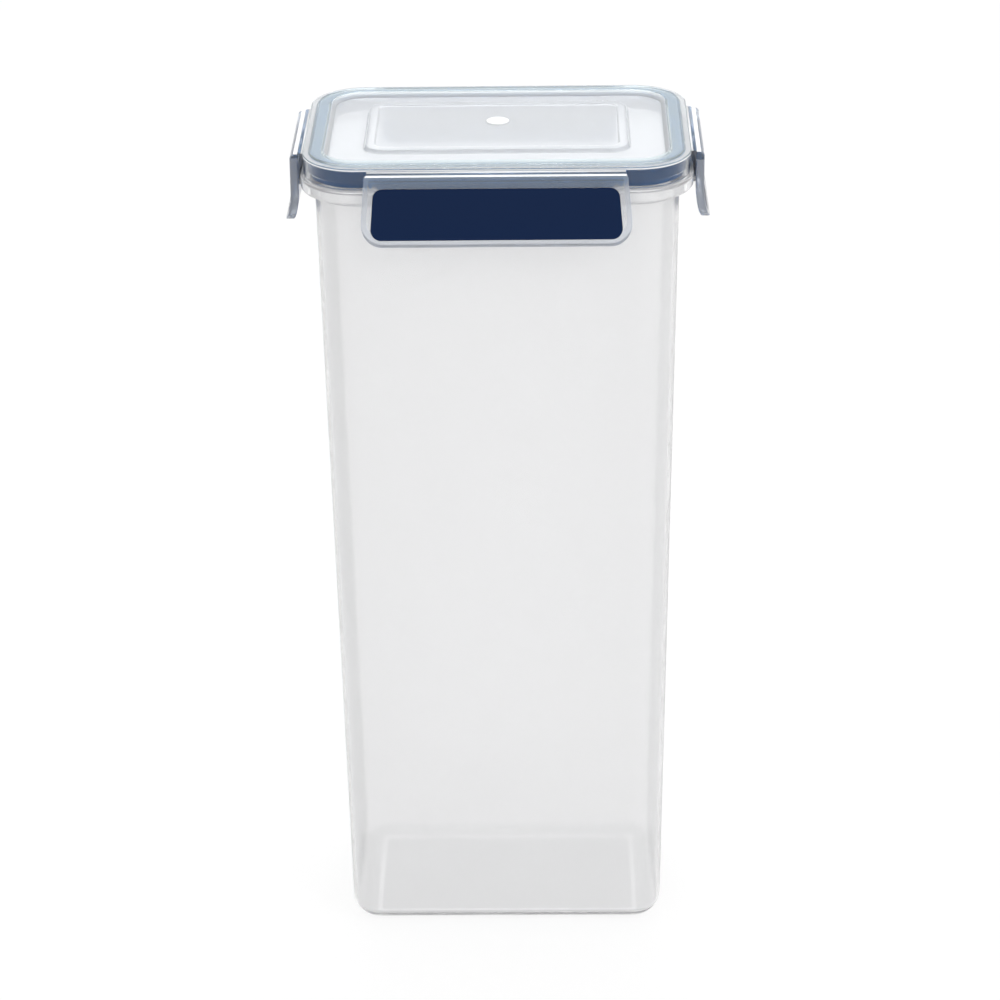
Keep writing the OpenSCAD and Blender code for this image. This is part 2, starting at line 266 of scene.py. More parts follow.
def rounded_loop(corner_steps, side_shares):
    """Weights of the points round a rounded rectangle, from the +X +Y corner on.

    A point is (ax * (half width - r) + cx * r, ay * (half depth - r) + cy * r). Over a
    corner (cx, cy) turns through 90 degrees, and over a side (ax, ay) runs straight.
    """
    signs = np.array([(1, 1), (-1, 1), (-1, -1), (1, -1)], float)
    shares = np.asarray(side_shares, float)[:, None]
    parts = []
    for k in range(4):
        turn = np.radians(90 * k + np.linspace(0, 90, corner_steps + 1))
        direction = np.stack([np.cos(turn), np.sin(turn)], 1)
        here, following = signs[k], signs[(k + 1) % 4]
        parts.append(np.hstack([np.repeat(here[None], corner_steps + 1, 0), direction]))
        side = here + (following - here) * shares
        parts.append(np.hstack([side, np.repeat(direction[-1:], len(shares), 0)]))
    return np.concatenate(parts)


CORNER_STEPS = 24
SIDE_SHARES = (0.02, 0.25, 0.5, 0.75, 0.98)
LOOP = rounded_loop(CORNER_STEPS, SIDE_SHARES)


def ring_surface(rows):
    """A grid of points: row k is the rounded rectangle of rows[k] = (half width, half
    depth, corner radius, height)."""
    wide, deep, radius, high = (rows[:, k][:, None] for k in range(4))
    x = LOOP[:, 0] * (wide - radius) + LOOP[:, 2] * radius
    y = LOOP[:, 1] * (deep - radius) + LOOP[:, 3] * radius
    return np.stack([x, y, np.broadcast_to(high, x.shape)], -1)


def inset_rows(profile, corner):
    """Rows of the lid's outline, set in by a profile's first value at its second's height."""
    inset, high = profile[:, 0], profile[:, 1]
    radius = np.maximum(corner - inset, 0)
    return np.stack([LID_HIGH.x - inset, LID_HIGH.y - inset, radius, high], 1)


def grid_faces(rows, columns):
    """Quads between neighbouring rows of a grid, wrapped round its columns."""
    row = np.arange(rows - 1)[:, None]
    column = np.arange(columns)[None]
    following = (column + 1) % columns
    quads = [row * columns + column, row * columns + following,
             (row + 1) * columns + following, (row + 1) * columns + column]
    return np.stack(np.broadcast_arrays(*quads), -1).reshape(-1, 4)


# Points nearer than the first are merged, and faces smaller than the second go
MERGED, SLIVER = 2e-6, 1e-6


def mesh_piece(name, shells, finishes=None):
    """One object from several closed grids of points, with doubles merged and faces out.

    Each grid may come with a finish: the index of the material on each of its bands.
    """
    points, faces, kinds, count = [], [], [], 0
    for k, grid in enumerate(shells):
        rows, columns = grid.shape[:2]
        points.append(grid.reshape(-1, 3))
        faces.append(grid_faces(rows, columns) + count)
        band = np.asarray(finishes[k] if finishes else 0)
        band = band[:, None] if band.ndim == 1 else band
        kinds.append(np.broadcast_to(band, (rows - 1, columns)).ravel())
        count += rows * columns
    mesh = bpy.data.meshes.new(name)
    mesh.from_pydata(np.concatenate(points), [], np.concatenate(faces))
    mesh.polygons.foreach_set("material_index", np.concatenate(kinds).astype(np.int32))
    work = bmesh.new()
    work.from_mesh(mesh)
    bmesh.ops.remove_doubles(work, verts=work.verts, dist=MERGED)
    bmesh.ops.dissolve_degenerate(work, edges=work.edges, dist=SLIVER)
    bmesh.ops.recalc_face_normals(work, faces=work.faces)
    work.to_mesh(mesh)
    work.free()
    mesh.shade_smooth()
    piece = bpy.data.objects.new(name, mesh)
    bpy.context.scene.collection.objects.link(piece)
    return piece


# ---- tub ----

# The tub's finishes, in the order of its materials
NATURAL, MILKY, SHADED_FLOOR = range(3)
# How far the corners of the rim and of the dish under the base are softened
RIM_SOFT, DISH_SOFT = 0.45 * MM, 8 * MM
# Rise of the slope under the collar, and run of the lip's slope over its rise
COLLAR_SLOPE, LIP_RUN = 1.05 * MM, 0.8
# Height of the milky band round the foot, and how far the upper one passes the collar
MILKY_FOOT, MILKY_PAST = 2.5 * MM, 0.2 * MM
# Places nearer than the first count as one, and a step over the second is a real one
NEAR, STEP = 0.01 * MM, 0.1 * MM


def levels(scene):
    """Heights and insets that the tub, the lid, the seal and the latches share."""
    tub, lid = scene.canister_tub, scene.canister_lid
    at = SimpleNamespace(top=LID_HIGH.z - lid.ridge, seal_top=TUB_HIGH.z)
    at.ceiling, at.flat = at.top - lid.flange, at.top - lid.flat_drop
    at.rim_top = at.seal_top - tub.seal_lip_height
    at.skirt_bottom = at.rim_top + lid.lip_gap
    at.lip_bottom = at.rim_top - tub.rim_height
    at.collar_bottom = at.lip_bottom - tub.collar_height
    at.lean = math.tan(tub.draft)
    at.lip_inner = tub.wall_inset + (at.collar_bottom - at.seal_top) * at.lean + tub.wall
    at.channel_out = at.lip_inner - tub.seal_lip_width / 2 - lid.channel / 2
    at.channel_in = at.channel_out + lid.channel
    at.plug_in = at.channel_in + lid.channel_wall
    return at


def tub_surface(scene):
    """The tub's closed surface: a profile from the middle of the base, out and up the
    drafted wall, over the rim and down the inside to the middle of the floor."""
    tub, lid, at = scene.canister_tub, scene.canister_lid, levels(scene)
    centre = LID_HIGH.y

    def wall(z):
        return tub.wall_inset + (at.collar_bottom - z) * at.lean

    outer_in = wall(tub.fillet) + tub.fillet
    floor = tub.foot + tub.floor
    inner_in = wall(floor + tub.inner_fillet) + tub.wall + tub.inner_fillet
    rim_outer = -(TUB_HIGH.x - LID_HIGH.x)
    collar = tub.wall_inset - tub.collar_out
    lip = rim_outer + tub.rim_thickness
    under = at.rim_top - tub.rim_thickness
    base = softened([
        (centre, tub.foot), (outer_in + tub.foot_width + tub.dish, tub.foot),
        (outer_in + tub.foot_width, 0), (outer_in, 0)], DISH_SOFT, 8)
    outside = arc((outer_in, tub.fillet), tub.fillet, 270, 180)
    rim = softened([
        outside[-1],
        (wall(at.collar_bottom), at.collar_bottom),
        (collar, at.collar_bottom + COLLAR_SLOPE),
        (collar, under), (lip, under), (lip, at.lip_bottom),
        (rim_outer + LIP_RUN * tub.lip_slope, at.lip_bottom),
        (rim_outer, at.lip_bottom + tub.lip_slope),
        (rim_outer, at.rim_top),
        (at.lip_inner - tub.seal_lip_width, at.rim_top),
        (at.lip_inner - tub.seal_lip_width, at.seal_top),
        (at.lip_inner, at.seal_top),
        (inner_in - tub.inner_fillet, floor + tub.inner_fillet)], RIM_SOFT, 4)
    inside = arc((inner_in, floor + tub.inner_fillet), tub.inner_fillet, 180, 270)
    profile = np.concatenate([base[:-1], outside[:-1], rim[:-1], inside, [(centre, floor)]])
    return ring_surface(inset_rows(supported(profile), lid.corner))


def tub_bands(scene, grid):
    """The finish of each band of the tub: milky from the collar up and outside round the
    foot, and a darker tone on the floor and the lower half of the fillet round it, which is
    painted shade."""
    tub = scene.canister_tub
    high = grid[..., 2].max(1)
    low = np.minimum(high[:-1], high[1:])
    inside = np.arange(len(low)) > np.argmax(high)
    middle = tub.foot + tub.floor + tub.inner_fillet * (1 - math.sqrt(0.5))
    # The floor and the lower half of the fillet round it take the painted shade
    lower = inside & (high[:-1] < middle) & (low > tub.foot + tub.floor - NEAR)
    foot = ~inside & (low < MILKY_FOOT)
    milky = (low > levels(scene).collar_bottom - MILKY_PAST) | foot
    return np.select([milky, lower], [MILKY, SHADED_FLOOR], NATURAL)


# ---- lid and seal ----

# The lid's finishes, in the order of its materials
POLISHED, INSERT_TINTED_PANEL, SATIN, SEAL_TINTED_EDGE, HIGHLIGHT_AND_GATE, SEAL_TINTED_RIDGE = range(6)
# How far the corners of the lid's sections are softened
BEAD_SOFT, HOLLOW_SOFT, LID_SOFT, SEAL_SOFT = 0.5 * MM, 0.35 * MM, 0.4 * MM, 0.3 * MM
# How far the bead slopes, spreads at its foot, and the flat's rows reach round it
BEAD_SLOPE, BEAD_FOOT, FLAT_ROWS = 0.5 * MM, 0.1 * MM, 3 * MM
# How far the hollow's wall slopes out and in, and how far its rows reach past it
HOLLOW_SLOPE, HOLLOW_ROWS = (0.1 * MM, 0.2 * MM), (2 * MM, 4 * MM)
# How far the ridge's upper edges lean in, and the clear band along the outer one
RIDGE_LEAN, CLEAR_BAND = 0.35 * MM, 0.9 * MM
# The gate mark: its depth in the plateau, its height, the shares of its radius where it
# falls away, how low it then lies there and in the middle, its softening and its points
GATE_BITE, GATE_HEIGHT, GATE_FALL = 0.1 * MM, 0.4 * MM, (0.86, 0.8)
GATE_DISH, GATE_MIDDLE, GATE_SOFT, GATE_POINTS = 0.18 * MM, 0.12 * MM, 0.12 * MM, 64


def frame_rows(lid, points, soft, base):
    """Rows of the stacking frame's outline, set in by a softened profile's first value at
    its second's height above the base."""
    steps = supported(softened(points, soft, 4))
    inset = steps[:, 0]
    radius = np.clip(lid.frame_corner - inset, 0, None)
    return np.stack([lid.frame_width / 2 - inset, lid.frame_depth / 2 - inset, radius,
                     base + steps[:, 1]], 1)


def bead_rows(lid, flat):
    """Rows of the stacking frame: the plateau, the bead round it and the flat outside."""
    return frame_rows(lid, [
        (lid.frame_depth / 2, lid.plateau), (lid.bead, lid.plateau),
        (lid.bead - BEAD_SLOPE, lid.bead_height), (BEAD_SLOPE, lid.bead_height),
        (-BEAD_FOOT, 0), (-FLAT_ROWS, 0)], BEAD_SOFT, flat)


def hollow_rows(lid, under):
    """Rows of the hollow under the frame, which keeps the lid's thickness even."""
    wall, high = lid.frame_wall, lid.plateau
    return frame_rows(lid, [
        (-HOLLOW_ROWS[0], 0), (wall - HOLLOW_SLOPE[0], 0), (wall + HOLLOW_SLOPE[1], high),
        (wall + HOLLOW_ROWS[1], high), (lid.frame_depth / 2, high)], HOLLOW_SOFT, under)


def lid_surface(scene):
    """The lid's closed surface: out over the plateau, bead, flat, ridge and flange, round
    the skirt, the channel's walls and the plug, and back under the flat."""
    lid, at = scene.canister_lid, levels(scene)
    top, ceiling, flat, low = at.top, at.ceiling, at.flat, at.skirt_bottom
    ridge_out, ridge_top, plug_in = at.channel_out - RIDGE_LEAN, top + lid.ridge, at.plug_in
    wall_out, wall_in = at.channel_out + lid.seal_press, at.channel_in
    outside, skirt_in = at.channel_out - lid.channel_wall, lid.skirt_inset + lid.skirt
    deep = top - lid.channel_depth
    plug = top - lid.plug_depth
    under = flat - lid.flat
    outer = softened([
        (plug_in + FLAT_ROWS, flat), (plug_in + lid.ridge_slope, flat),
        (plug_in - RIDGE_LEAN, ridge_top), (ridge_out, ridge_top), (ridge_out, top), (0, top),
        (0, ceiling), (lid.skirt_inset, ceiling), (lid.skirt_inset, low), (skirt_in, low),
        (skirt_in, ceiling), (outside, ceiling), (outside, deep), (wall_out, deep),
        (wall_out, ceiling), (wall_in, ceiling), (wall_in, plug), (plug_in, plug),
        (plug_in, under), (plug_in + FLAT_ROWS, under)], LID_SOFT, 4)
    rows = inset_rows(supported(outer), lid.corner)
    return ring_surface(np.concatenate([bead_rows(lid, flat), rows, hollow_rows(lid, under)]))


def lid_bands(scene, grid):
    """The finish of each band of the lid: panel inside the ridge, with a painted bluish tint
    of the insert seen through it; satin on the flange's level top and on the ridge's inner
    slope; clear with the seal's blue painted in on the ridge's top and the rounded edges of
    the upper side; milky white on the flange's upright edge as a painted highlight; and
    polished on its walls."""
    at, wide, high = levels(scene), grid[..., 0].max(1), grid[..., 2].max(1)
    panel = wide < LID_HIGH.x - at.plug_in - STEP
    edge = np.nonzero(wide > LID_HIGH.x - NEAR)[0]
    band = np.arange(len(wide) - 1)
    level = (band < edge[-1]) & (np.abs(np.diff(high)) < 0.1 * NEAR)
    upright = (band >= edge[0]) & (band < edge[-1])
    panel = panel[:-1] & panel[1:]
    slope = (band < edge[0]) & (np.diff(high) > STEP)
    raised = high[:-1] > at.top + 0.5 * scene.canister_lid.ridge
    rim = wide[:-1] > LID_HIGH.x - at.channel_out - CLEAR_BAND
    return np.select([panel, upright, (level & ~raised) | slope, level & ~rim, band < edge[-1]],
                     [INSERT_TINTED_PANEL, HIGHLIGHT_AND_GATE, SATIN, SEAL_TINTED_RIDGE, SEAL_TINTED_EDGE], POLISHED)


def gate_surface(scene):
    """A plain low disc with a dished middle, left where the plastic entered the mould."""
    lid = scene.canister_lid
    low = levels(scene).flat + lid.plateau - GATE_BITE
    high = low + GATE_HEIGHT
    rim, dish = (lid.gate * share for share in GATE_FALL)
    profile = softened([
        (0, low), (lid.gate, low), (lid.gate, high), (rim, high),
        (dish, high - GATE_DISH), (0, high - GATE_MIDDLE)], GATE_SOFT)
    turn = np.linspace(0, 2 * math.pi, GATE_POINTS, endpoint=False)
    x = profile[:, :1] * np.cos(turn)
    y = profile[:, :1] * np.sin(turn) + lid.gate_back
    return np.stack([x, y, np.broadcast_to(profile[:, 1:], x.shape)], -1)


def seal_surface(scene):
    """The seal's closed ring: a square section with a groove for the sealing lip."""
    tub, lid, at = scene.canister_tub, scene.canister_lid, levels(scene)
    out, inner = at.channel_out + lid.seal_gap, at.channel_in - lid.seal_gap
    high, low = at.ceiling - lid.seal_gap, at.skirt_bottom
    groove_out = at.lip_inner - tub.seal_lip_width - lid.lip_gap
    groove_in = at.lip_inner + lid.lip_gap
    groove_top = at.seal_top + lid.lip_gap
    middle = (out + inner) / 2
    profile = softened([
        (middle, high), (out, high), (out, low), (groove_out, low), (groove_out, groove_top),
        (groove_in, groove_top), (groove_in, low), (inner, low), (inner, high),
        (middle, high)], SEAL_SOFT, 4)
    return ring_surface(inset_rows(profile, lid.corner))


# ---- latches ----

# Each side's turn round the upright axis, in degrees
SIDES = {"front": 0, "right": 90, "back": 180, "left": 270}
# The latches' finishes, in the order of their materials
FROSTED, SEAL_TINT, TOP_HIGHLIGHT, PAINTED_OUTLINE = range(4)
# Steps across a latch's back, and the bands after them that take the painted dark outline
BACK_STEPS = 9
EDGE_BANDS = (BACK_STEPS - 1, BACK_STEPS + 6)
# Where the points stand along each straight stretch of a latch's outline
LATCH_SHARES = np.array([0.03, 0.12, 0.25, 0.4, 0.55, 0.7, 0.85, 0.97])
# Powers of the superellipse along which the shoulder falls away
SHOULDER_RISE, SHOULDER_FALL = 1.7, 1.25
# Radius of the latch's upper corners, and the least radius that an inset leaves there
TOP_CORNER, LEAST_CORNER = 1.2 * MM, 0.1 * MM
# How far edges are softened, and the share of the thickness that the roundings take
PLATE_SOFT, INSERT_SOFT, PLATE_ROUND, INSERT_ROUND = 0.45 * MM, 0.3 * MM, 0.16, 0.1
# Width of the border round the pocket, and the share of the thickness at which it starts
POCKET_BORDER, POCKET_START = 0.2 * MM, 0.97
# How far below the top a face still counts as level
LEVEL_BAND = 0.3 * MM
# Steps across an insert's back face, which comes first
INSERT_BACK_STEPS = 6
# How far the catch and web reach into the plate, and the share of them at their ends
ROOT, BAR_END = 0.4 * MM, 0.9
# The catch: its drop from the lip, its slope, its softening and its nose
CATCH_DROP, CATCH_SLOPE, CATCH_SOFT = 0.8 * MM, 1.25, 0.35 * MM
NOSE_HEIGHT, NOSE_DEPTH = 0.7 * MM, 0.35 * MM
# The hinge web: its fall outwards, its root below the top and its softening
WEB_FALL, WEB_ROOT, WEB_SOFT = 0.4 * MM, (1 * MM, 0.3 * MM), 0.12 * MM
# How far the film reaches in over the lid's edge, and the points along it
FILM_BITE, FILM_POINTS = 0.4 * MM, 13
# How far the web and the film stop short of the latch's ends
WEB_SHORT, FILM_SHORT = 0.6 * MM, 0.8 * MM


class LatchForm:
    """The faces of one latch's plate, and outlines drawn on it.

    A place on the plate is (along, height, through), where through is 0 on the inner face
    and 1 on the outer one. The distance out from the lid's edge at a height is the inner
    face's plus through times the thickness there.
    """

    def __init__(self, scene, side):
        self.sizes = s = scene.canister_latch
        wide = side in ("front", "back")
        self.width, self.height = (s.wide, s.height) if wide else (s.side, s.side_height)
        self.top = levels(scene).top - s.drop
        self.low = self.top - self.height
        self.film_low = levels(scene).top - s.hinge_drop - s.film / 2
        self.lean = math.atan2(s.slant, self.height)
        drop, reach = self.height - s.flare_start, s.flare_reach
        self.flare_radius = (drop**2 + reach**2) / (2 * reach)

    def half_at(self, high):
        """Half the latch's width at a height: it grows evenly downwards."""
        share = (self.top - high) / self.height
        return self.width / 2 + self.sizes.slant * share

    def flared(self, start, radius, high):
        """A face at start that runs down and then bends out round the flare's centre."""
        s = self.sizes
        drop = np.clip(self.top - s.flare_start - high, 0, None)
        centre = s.standoff + s.plate + self.flare_radius
        bent = centre - np.sqrt(np.clip(radius**2 - drop**2, 0, None))
        return np.where(drop > 0, bent, start)

    def faces(self, high):
        """How far out the inner and the outer face lie at each height. Above the
        shoulder's foot the outer face falls away along a quarter of a superellipse."""
        s = self.sizes
        inner = self.flared(s.standoff, self.flare_radius + s.plate, high)
        outer = self.flared(s.standoff + s.plate, self.flare_radius, high)
        rise = np.clip((high - (self.top - s.shoulder)) / s.shoulder, 0, 1)
        fall = (s.plate - s.land) * (1 - (1 - rise**SHOULDER_RISE) ** (1 / SHOULDER_FALL))
        return inner, outer - fall

    def outline(self, rows, corner_steps=8):
        """A grid of places: row k follows a rounded outline whose top, bottom, side inset,
        top radius, lower radius and through are rows[k]."""
        top, low, inset, top_r, low_r, through = (rows[:, k][:, None] for k in range(6))
        lean = math.degrees(self.lean)

        def corner(sign, high, radius, start, end):
            a = np.radians(np.linspace(start, end, corner_steps + 1))[None]
            out = np.maximum(self.half_at(high) - inset - radius / math.cos(self.lean), 0)
            return sign * out + radius * np.cos(a), high + radius * np.sin(a)

        arcs = [
            corner(1, low + low_r, low_r, -90, lean),
            corner(1, top - top_r, top_r, lean, 90),
            corner(-1, top - top_r, top_r, 90, 180 - lean),
            corner(-1, low + low_r, low_r, 180 - lean, 270),
        ]
        along, high = [], []
        for k, (x, z) in enumerate(arcs):
            after_x, after_z = arcs[(k + 1) % 4]
            along += [x, x[:, -1:] + (after_x[:, :1] - x[:, -1:]) * LATCH_SHARES]
            high += [z, z[:, -1:] + (after_z[:, :1] - z[:, -1:]) * LATCH_SHARES]
        along, high = np.hstack(along), np.hstack(high)
        inner, outer = self.faces(high)
        return np.stack([along, inner + through * (outer - inner), high], -1)

    def rows_between(self, first, last, steps):
        """Rows that run evenly from one outline to another."""
        t = np.linspace(0, 1, steps + 1)[:, None]
        return np.asarray(first) + (np.asarray(last) - np.asarray(first)) * t

    def line(self, top, low, inset, through):
        """An outline from low to top shrunk to the level line at its middle."""
        middle = (top + low) / 2
        return (middle, middle, inset + (top - low) / 2, 0, 0, through)

    def edge_row(self, inset, through):
        """The latch's own outline, set in a little."""
        s = self.sizes
        return (self.top - inset, self.low + inset, inset,
                max(TOP_CORNER - inset, LEAST_CORNER), s.corner - inset, through)

    def insert_row(self, grow, through):
        """The insert's outline, grown by a clearance."""
        s = self.sizes
        return (self.top - s.insert_top + grow, self.low + s.insert_bottom - grow,
                s.insert_side - grow, s.insert_corner + grow, s.insert_corner + grow, through)


def latch_bands(scene, grid):
    """The finish of each face of a latch's plate: milky white on its level top as a painted
    highlight, clear with the seal's blue painted in from there to the insert, a darker
    blue-grey painted outline round its edge and frosted elsewhere."""
    sizes = scene.canister_latch
    top = levels(scene).top - sizes.drop
    high = np.minimum(grid[:-1, :, 2], grid[1:, :, 2])
    band = np.arange(len(high))[:, None]
    edge = (band >= EDGE_BANDS[0]) & (band < EDGE_BANDS[1]) & (high < top - sizes.shoulder)
    return np.select([high > top - LEVEL_BAND, edge, high > top - sizes.insert_top],
                     [TOP_HIGHLIGHT, PAINTED_OUTLINE, SEAL_TINT], FROSTED)


def strip(loop, middle, along, shares):
    """A closed strip: a loop of (out, height) points at each place along a latch, shrunk
    to a share of its distance from the middle."""
    section = middle + (loop - middle)[None] * np.array(shares)[:, None, None]
    x = np.broadcast_to(np.array(along)[:, None], section.shape[:2])
    return np.stack([x, section[..., 0], section[..., 1]], -1)


def bar(profile, half, setback):
    """A closed bar with a softened profile and softened ends, over a setback at each."""
    profile = np.asarray(profile, float)
    loop = softened(np.vstack([profile, profile[:1]]), setback)[1:]
    along = [-half, -half, -half + setback, half - setback, half, half]
    return strip(loop, loop.mean(0), along, [0, BAR_END, 1, 1, BAR_END, 0])


def latch_surfaces(scene, side):
    """A latch in its own place: the plate with its pocket, the catch and the hinge web."""
    form, s = LatchForm(scene, side), scene.canister_latch
    half = form.width / 2
    depth = 1 - (s.insert - s.insert_bond) / s.plate
    turn = np.radians(np.linspace(0, 90, 4))
    back = [form.edge_row(PLATE_SOFT * (1 - math.sin(a)), (1 - math.cos(a)) * PLATE_ROUND)
            for a in turn]
    face = [form.edge_row(PLATE_SOFT * (1 - math.cos(a)),
                          1 - PLATE_ROUND + math.sin(a) * PLATE_ROUND) for a in turn]
    pocket = form.insert_row(-s.insert_bond, depth)
    rows = np.concatenate([
        form.rows_between(form.line(form.top, form.low, 0, 0), back[0], BACK_STEPS)[:-1],
        back, face, form.rows_between(face[-1], form.insert_row(POCKET_BORDER, 1), 3)[1:],
        [form.insert_row(-s.insert_bond, POCKET_START)], [pocket],
        form.rows_between(pocket, form.line(*pocket[:3], depth), 8)[1:]])
    root = s.standoff + ROOT
    tip = TUB_HIGH.x - LID_HIGH.x - s.catch_reach
    tip_z = levels(scene).lip_bottom - CATCH_DROP
    rise = (s.standoff - tip) * CATCH_SLOPE
    catch = [(tip, tip_z), (root, tip_z + rise), (root, tip_z + rise - s.catch_height),
             (tip + NOSE_DEPTH, tip_z - NOSE_HEIGHT)]
    web = [(s.hinge_out, form.film_low), (s.standoff, form.film_low - WEB_FALL),
           (root, form.top - WEB_ROOT[0]), (root, form.top - WEB_ROOT[1]),
           (s.standoff, form.top), (s.hinge_out, form.film_low + s.film)]
    return [form.outline(rows), bar(catch, half - s.catch_end, CATCH_SOFT),
            bar(web, half - WEB_SHORT, WEB_SOFT)]


def insert_surface(scene, side):
    """An insert in its own place: a thin plate that follows the latch's outer face, with a
    softened front edge."""
    form, s = LatchForm(scene, side), scene.canister_latch
    deep = 1 - s.insert / s.plate
    back = form.insert_row(0, deep)
    front = [form.insert_row(-INSERT_SOFT * (1 - math.cos(a)),
                             1 - INSERT_ROUND + INSERT_ROUND * math.sin(a))
             for a in np.radians(np.linspace(0, 90, 5))]
    rows = np.concatenate([
        form.rows_between(form.line(*back[:3], deep), back, INSERT_BACK_STEPS), front,
        form.rows_between(front[-1], form.line(*front[-1][:3], 1), 10)[1:]])
    return form.outline(rows)


def film_surface(scene, side):
    """A film hinge in its own place: a thin strip from the lid's edge to the latch. Its
    upper face rises evenly to the flange over the stretch from the hinge axis to the lid."""
    form, s = LatchForm(scene, side), scene.canister_latch
    low, half = form.film_low, form.width / 2 - FILM_SHORT
    out = np.linspace(-FILM_BITE, s.standoff, FILM_POINTS)
    root = s.hinge_drop - s.film / 2 - scene.canister_lid.flange
    high = low + s.film + root * np.clip(1 - out / s.hinge_out, 0, 1)
    loop = np.concatenate([np.stack([out, np.full(FILM_POINTS, low)], 1),
                           np.stack([out[::-1], high[::-1]], 1)])
    middle = np.stack([loop[:, 0], np.full(len(loop), low + s.film / 2)], 1)
    return strip(loop, middle, [-half, -half, half, half], [0, 1, 1, 0])


def on_side(grid, side):
    """Takes (along, out, height) on one side of the lid to places in the frame."""
    reach = LID_HIGH.y if side in ("front", "back") else LID_HIGH.x
    x, y = grid[..., 0], -(reach + grid[..., 1])
    turn = math.radians(SIDES[side])
    return np.stack([x * math.cos(turn) - y * math.sin(turn),
                     x * math.sin(turn) + y * math.cos(turn), grid[..., 2]], -1)


# ---- materials ----

# Height of each plastic's orange peel, in metres
TUB_PEEL, LID_PEEL, LATCH_PEEL, INSERT_PEEL, SEAL_PEEL = 4e-6, 2e-6, 5e-6, 1e-5, 2e-5
# Inputs of the moulded skin group. The scales count patches in a metre.
SKIN_INPUTS = {"Roughness": 0.3, "Spread": 0.05, "Polish scale": 30.0, "Peel scale": 900.0}


def set_inputs(node, **values):
    """Sets a node's inputs, where _ stands for a space in an input's name."""
    for label, value in values.items():
        node.inputs[label.replace("_", " ")].default_value = value
    return node


def math_node(tree, operation):
    """A new node that does one sum."""
    node = tree.nodes.new("ShaderNodeMath")
    node.operation = operation
    return node


def join(tree, *pairs):
    """Links the output to the input of each pair."""
    for output, into in pairs:
        tree.links.new(output, into)


def moulded_skin():
    """Group: the skin of a moulded plastic. Roughness wanders slowly with the mould's
    polish, and the height carries a fine orange peel."""
    group = bpy.data.node_groups.new("Moulded skin", "ShaderNodeTree")
    new_socket, number = group.interface.new_socket, "NodeSocketFloat"
    for label, value in SKIN_INPUTS.items():
        new_socket(label, in_out="INPUT", socket_type=number).default_value = value
    for label in ("Roughness", "Height"):
        new_socket(label, in_out="OUTPUT", socket_type=number)
    start, end = group.nodes.new("NodeGroupInput"), group.nodes.new("NodeGroupOutput")
    place = group.nodes.new("ShaderNodeTexCoord")
    slow = set_inputs(group.nodes.new("ShaderNodeTexNoise"), Detail=3)
    fine = set_inputs(group.nodes.new("ShaderNodeTexNoise"), Detail=2)
    wander = math_node(group, "SUBTRACT")
    wander.inputs[1].default_value = 0.5
    spread = math_node(group, "MULTIPLY_ADD")
    join(group,
         (place.outputs["Object"], slow.inputs["Vector"]),
         (place.outputs["Object"], fine.inputs["Vector"]),
         (start.outputs["Polish scale"], slow.inputs["Scale"]),
         (start.outputs["Peel scale"], fine.inputs["Scale"]),
         (slow.outputs["Fac"], wander.inputs[0]),
         (wander.outputs[0], spread.inputs[0]),
         (start.outputs["Spread"], spread.inputs[1]),
         (start.outputs["Roughness"], spread.inputs[2]),
         (spread.outputs[0], end.inputs["Roughness"]),
         (fine.outputs["Fac"], end.inputs["Height"]))
    return group


def plastic(name, tint, roughness, spread, peel, transmission=0.0, ior=1.49, **more):
    """A moulded plastic: the skin group drives roughness and a bump of peel metres."""
    material = bpy.data.materials.new(name)
    material.use_nodes = True
    tree = material.node_tree
    shader = set_inputs(tree.nodes["Principled BSDF"], Base_Color=(*tint, 1),
                        Transmission_Weight=transmission, IOR=ior, **more)
    group = tree.nodes.new("ShaderNodeGroup")
    group.node_tree = bpy.data.node_groups.get("Moulded skin") or moulded_skin()
    set_inputs(group, Roughness=roughness, Spread=spread)
    bump = set_inputs(tree.nodes.new("ShaderNodeBump"), Distance=peel)
    join(tree,
         (group.outputs["Roughness"], shader.inputs["Roughness"]),
         (group.outputs["Height"], bump.inputs["Height"]),
         (bump.outputs["Normal"], shader.inputs["Normal"]))
    return material


def dress(piece, materials, slot, body, *nodes):
    """Gives a piece its materials, and makes it ride and stand for its nodes.
    The slot is not used.
    """
    for material in materials:
        piece.data.materials.append(material)
    if body:
        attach(piece, body)
    if nodes:
        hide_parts(*nodes)


# ---- operators ----


class AddTub(bpy.types.Operator):
    """Adds the drafted translucent tub"""

    bl_idname = "canister.add_tub"
    bl_label = "Tub"

    def execute(self, context):
        scene, finish = context.scene, context.scene.canister_finish
        surface = tub_surface(scene)
        piece = mesh_piece("tub_shell", [surface], [tub_bands(scene, surface)])
        dress(piece, (
            plastic("Natural polypropylene", finish.tub, 0.12, 0.04, TUB_PEEL, 0.83, 1.4),
            plastic("Milky rim", finish.tub, 0.08, 0.04, TUB_PEEL, 0.76, 1.36),
            # Painted shade on the floor and the lower half of the fillet round it
            plastic("Base fillet", finish.fillet, 0.12, 0.04, TUB_PEEL, 0.83, 1.4),
        ), "tub_plastic", "canister", "tub")
        return {"FINISHED"}


